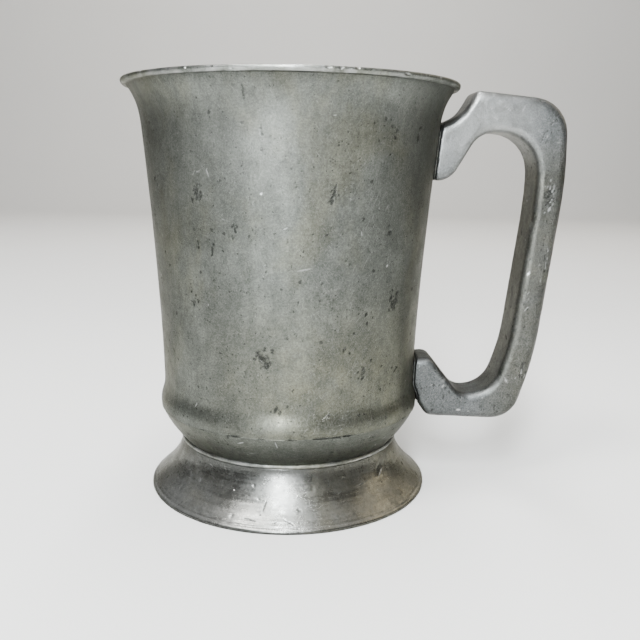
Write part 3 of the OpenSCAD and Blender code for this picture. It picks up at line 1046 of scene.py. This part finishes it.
# Size of the remeshed faces, and how many times the edges are softened
HANDLE_VOXEL = 0.40
HANDLE_SOFTENING = 16


def even_copy(name, node, voxel, iterations):
    """A copy of a CAD node with small even faces and softened edges."""
    bm = bmesh.new()
    bm.from_mesh(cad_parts[node].data)
    bmesh.ops.remove_doubles(bm, verts=bm.verts, dist=1e-6)
    mesh = bpy.data.meshes.new(name + "_draft")
    bm.to_mesh(mesh)
    bm.free()
    draft = bpy.data.objects.new(name + "_draft", mesh)
    bpy.context.scene.collection.objects.link(draft)
    remesh = draft.modifiers.new("even", "REMESH")
    remesh.mode = "VOXEL"
    remesh.voxel_size = voxel * MM
    soft = draft.modifiers.new("soft", "SMOOTH")
    soft.factor = 0.5
    soft.iterations = iterations
    bpy.context.view_layer.update()
    result = bpy.data.meshes.new_from_object(draft.evaluated_get(bpy.context.evaluated_depsgraph_get()))
    result.name = name
    bpy.data.objects.remove(draft)
    bpy.data.meshes.remove(mesh)
    return result


def mesh_points(mesh):
    points = np.zeros(len(mesh.vertices) * 3)
    mesh.vertices.foreach_get("co", points)
    return points.reshape(-1, 3) / MM


def on_side(x, z, half_length, half_width, tilt, depth, dark=0.0, bright=0.0):
    """A mark on the handle's flat front side."""
    lean = math.radians(tilt)
    along = (math.cos(lean), 0, math.sin(lean))
    across = (-math.sin(lean), 0, math.cos(lean))
    return Mark((x, -handle_high[1], z), along, across, half_length, half_width, depth, dark, bright, "any")


# On the handle's front side, roughly placed: x, z, half length, half width, tilt, depth, dark, bright
HANDLE_MARKS = (
    (65, 120, 1.6, 0.18, -35, 0.10, 0.0, 0.9),
    (60, 120, 1.6, 0.18, -55, 0.08, 0.0, 0.7),
    (70, 120, 0.9, 0.20, 70, 0.08, 0.0, 0.8),
    (80, 95, 2.0, 0.9, 75, 0.14, 0.9, 0.0),
    (80, 90, 0.8, 0.35, 80, 0.12, 0.0, 1.0),
    (75, 85, 1.4, 0.5, 90, 0.12, 0.8, 0.3),
    (75, 70, 0.8, 0.35, 60, 0.12, 0.0, 1.0),
    (75, 40, 1.6, 0.5, 70, 0.14, 0.85, 0.0),
    (70, 35, 1.2, 0.3, -60, 0.08, 0.0, 0.8),
    (50, 35, 0.9, 0.5, 20, 0.10, 0.3, 0.6),
    (55, 25, 0.8, 0.4, 0, 0.12, 0.2, 0.8),
)


# Rough patches on the handle's front side, roughly placed: x, z, reach along x and z, number of pits
HANDLE_PATCHES = (
    (80, 95, 2.2, 6.5, 80),
    (75, 88, 1.0, 6, 30),
    (80, 74, 1.6, 7, 30),
    (75, 58, 1.2, 8, 22),
    (75, 38, 3, 4, 24),
    (50, 33, 4, 5, 28),
    (78, 112, 2.5, 4, 16),
)


def rough_patch(rng, x, z, reach_x, reach_z, count):
    """Small pits that crowd together, every fifth with a bright worn edge."""
    marks = []
    for k in range(count):
        width = rng.uniform(0.18, 0.42)
        tone = rng.uniform(0.6, 1.0)
        worn = k % 5 == 4
        marks.append(on_side(
            x + rng.gauss(0, 0.5 * reach_x), z + rng.gauss(0, 0.5 * reach_z), width * rng.uniform(1.2, 2.6),
            0.15 if worn else width, rng.uniform(50, 110), rng.uniform(0.03, 0.09),
            0.0 if worn else tone, 0.7 * tone if worn else 0.0,
        ))
    return marks


def scattered_handle_marks(rng, points):
    """Small dark pits, and fewer bright nicks, all over the handle."""
    marks = []
    for _ in range(170):
        spot = points[rng.randrange(len(points))]
        tilt = rng.uniform(0, math.pi)
        dark = rng.random() < 0.8
        width = rng.uniform(0.2, 0.5) if dark else rng.uniform(0.14, 0.2)
        length = width * rng.uniform(1, 2.0 if dark else 4)
        along = Vector((math.cos(tilt), rng.uniform(-0.8, 0.8), math.sin(tilt))).normalized()
        across = along.cross(Vector((rng.uniform(-1, 1), 1, rng.uniform(-1, 1)))).normalized()
        tone = rng.uniform(0.4, 0.85)
        depth = rng.uniform(0.04, 0.10)
        marks.append(Mark(spot, along, across, length, width, depth, tone * dark, tone * (not dark), "any"))
    return marks


def handle_paint(points, normals):
    """Grime at the roots, worn edges with a painted highlight along them, a dull greenish grip, darker low
    down, painted shade on the outer side, painted light on the finger side, and painted shade on the crook's
    faces that look up and towards the rim.
    """
    x, z = points[:, 0], points[:, 2]
    finger_side = np.clip(-normals[:, 0] - 0.3, 0, 1)
    shaded_outer_side = np.clip(normals[:, 0] - 0.15, 0, 1)
    patchy = np.clip(0.6 + sample_noise(points, 6.0, 2, 8.8), 0, 1)
    # Worn rounded edges of the flat sides, which also carry a painted highlight
    worn_edge_and_highlight = ridge(np.abs(normals[:, 1]), 0.62, 0.18) * patchy
    body = barrel_wall(np.clip(z, SEAM_Z, 110))
    root = np.clip((body + 2.2 - np.hypot(x, points[:, 1])) / 1.6, 0, 1)
    grip = fade(x, 60, 12) * fade(z, 112, -12)
    crook = fade(x, 57, -4) * fade(z, 110, 4)
    up_left = np.clip(2 * np.maximum(normals[:, 2], -normals[:, 0]) - 0.3, 0, 1)
    wear_and_light = blank_wear_and_light(points)
    # Grime at the roots and on the finger side, and painted shade in the crook put in as grime
    wear_and_light[:, 0] = np.maximum(np.maximum(0.75 * root, 0.08 * finger_side), 0.5 * crook * up_left)
    wear_and_light[:, 1] = np.maximum(0.34 * fade(z, 98, 12) * fade(x, 78, -12), 0.30 * worn_edge_and_highlight)
    wear_and_light[:, 2] = 0.9 * grip
    wear_and_light[:, 3] = np.maximum(0.58 * grip, 0.30 * fade(z, 60, -12))
    # Painted shade on the outer side, and painted light on the finger side
    wear_and_light[:, 3] += 0.12 * shaded_outer_side - 0.30 * finger_side
    # Painted shade on the crook's faces that look up and those that look towards the rim
    wear_and_light[:, 3] = np.maximum(wear_and_light[:, 3], crook * up_left)
    return wear_and_light


def press_copy(mesh, points, marks, inward, wear_and_light):
    """Presses marks on any side of an even copy."""
    sides = np.array(["any"] * len(points), dtype=object)
    mesh.vertices.foreach_set("co", points.ravel())
    mesh.update()
    points = press_marks(mesh, points, sides, marks, inward, wear_and_light)
    mesh.vertices.foreach_set("co", (points * MM).ravel())


def make_handle():
    rng = random.Random(SEED + 3)
    mesh = even_copy("cast_handle", "handle", HANDLE_VOXEL, HANDLE_SOFTENING)
    points = mesh_points(mesh)
    marks = [on_side(*m) for m in HANDLE_MARKS]
    for patch in HANDLE_PATCHES:
        marks += rough_patch(rng, *patch)
    marks += scattered_handle_marks(rng, points)
    normals = np.zeros(len(points) * 3)
    mesh.vertex_normals.foreach_get("vector", normals)
    inward = 0.04 * (1 + sample_noise(points, 9.0, 2, 1.1)) + 0.022 * (1 + sample_noise(points, 2.2, 3, 2.9))
    press_copy(mesh, points, marks, inward, handle_paint(points, normals.reshape(-1, 3)))
    put_in_place(finish_mesh("cast_handle", mesh, (handle_material(),)), "handle")


# ---- solder

SOLDER_VOXEL = 0.16
SOLDER_SOFTENING = 3


def solder_pad(name, node, offset):
    """The solder between the body and one root of the handle, lumpy and dull."""
    mesh = even_copy(name, node, SOLDER_VOXEL, SOLDER_SOFTENING)
    points = mesh_points(mesh)
    wear_and_light = blank_wear_and_light(points)
    wear_and_light[:, 0] = 0.8
    press_copy(mesh, points, [], 0.03 * (1 + sample_noise(points, 1.2, 2, 4.0)), wear_and_light)
    material = solder_material(name + "_metal", rgb(0.14, 0.145, 0.14), DULL, offset)
    put_in_place(finish_mesh(name, mesh, (material,)), node)


def make_neck_solder():
    """The round bead in the corner between the bowl and the foot, uneven round the neck."""
    bead_steps = 14
    low, high = box_mm("foot_solder")
    bead = 0.5 * (high[2] - low[2]) + 0.15
    centre_r, centre_z = high[0] - bead, high[2] - bead
    outline = Outline()
    for k in range(bead_steps):
        a = 2 * math.pi * k / bead_steps
        outline.add([(centre_r + bead * math.cos(a), centre_z + bead * math.sin(a))], "out")

    def shape(points, sides):
        return 0.05 * (1 + sample_noise(points, 2.6, 3, 3.6)) + 0.05 * (1 + sample_noise(points, 16, 2, 7.3))

    def paint(points, sides):
        wear_and_light = blank_wear_and_light(points)
        wear_and_light[:, 1] = 0.05 + 0.35 * sample_noise(points, 5.0, 2, 1.2)
        return wear_and_light

    bright, dull = rgb(0.20, 0.205, 0.19), rgb(0.12, 0.125, 0.115)
    material = solder_material("neck_solder_metal", bright, dull, (3, 8, 21))
    piece = turned_piece("neck_solder", outline, True, (material,), [], shape, paint)
    put_in_place(piece, "foot_solder")


def make_seam_solder():
    """The film in the lap; its outer edge shows in the seam, sunk where the seam has opened."""
    edge = float(barrel_wall(SEAM_Z + 0.4))
    outline = Outline()
    outline.add([(LAP_R, SEAM_Z - FILM), (edge - 0.5, SEAM_Z - FILM), (edge - 0.02, SEAM_Z - FILM),
                 (edge - 0.015, SEAM_Z - 0.07), (edge - 0.02, SEAM_Z), (edge - 0.5, SEAM_Z),
                 (LAP_R + FILM, SEAM_Z)], "out")
    outline.add([(LAP_R + 0.12, LAP_TOP_Z - 0.6), (LAP_R + 0.02, LAP_TOP_Z - 0.6)], "hidden")

    def shape(points, sides):
        outer = np.clip((np.hypot(points[:, 0], points[:, 1]) - (edge - 0.4)) / 0.2, 0, 1)
        return 0.42 * outer * seam_opening(points)

    def paint(points, sides):
        wear_and_light = blank_wear_and_light(points)
        wear_and_light[:, 0] = seam_opening(points)
        return wear_and_light

    bright, dull = rgb(0.15, 0.16, 0.146), rgb(0.10, 0.106, 0.095)
    material = solder_material("seam_solder_metal", bright, dull, (9, 2, 13))
    piece = turned_piece("seam_solder", outline, True, (material,), [], shape, paint)
    put_in_place(piece, "barrel_seam_solder")


# ---- the scene

add_camera()
add_lights()
add_floor()
make_barrel()
make_bowl()
make_foot()
make_handle()
make_neck_solder()
make_seam_solder()
solder_pad("upper_root_solder", "upper_handle_solder", (31, 4, 9))
solder_pad("lower_root_solder", "lower_handle_solder", (14, 44, 2))
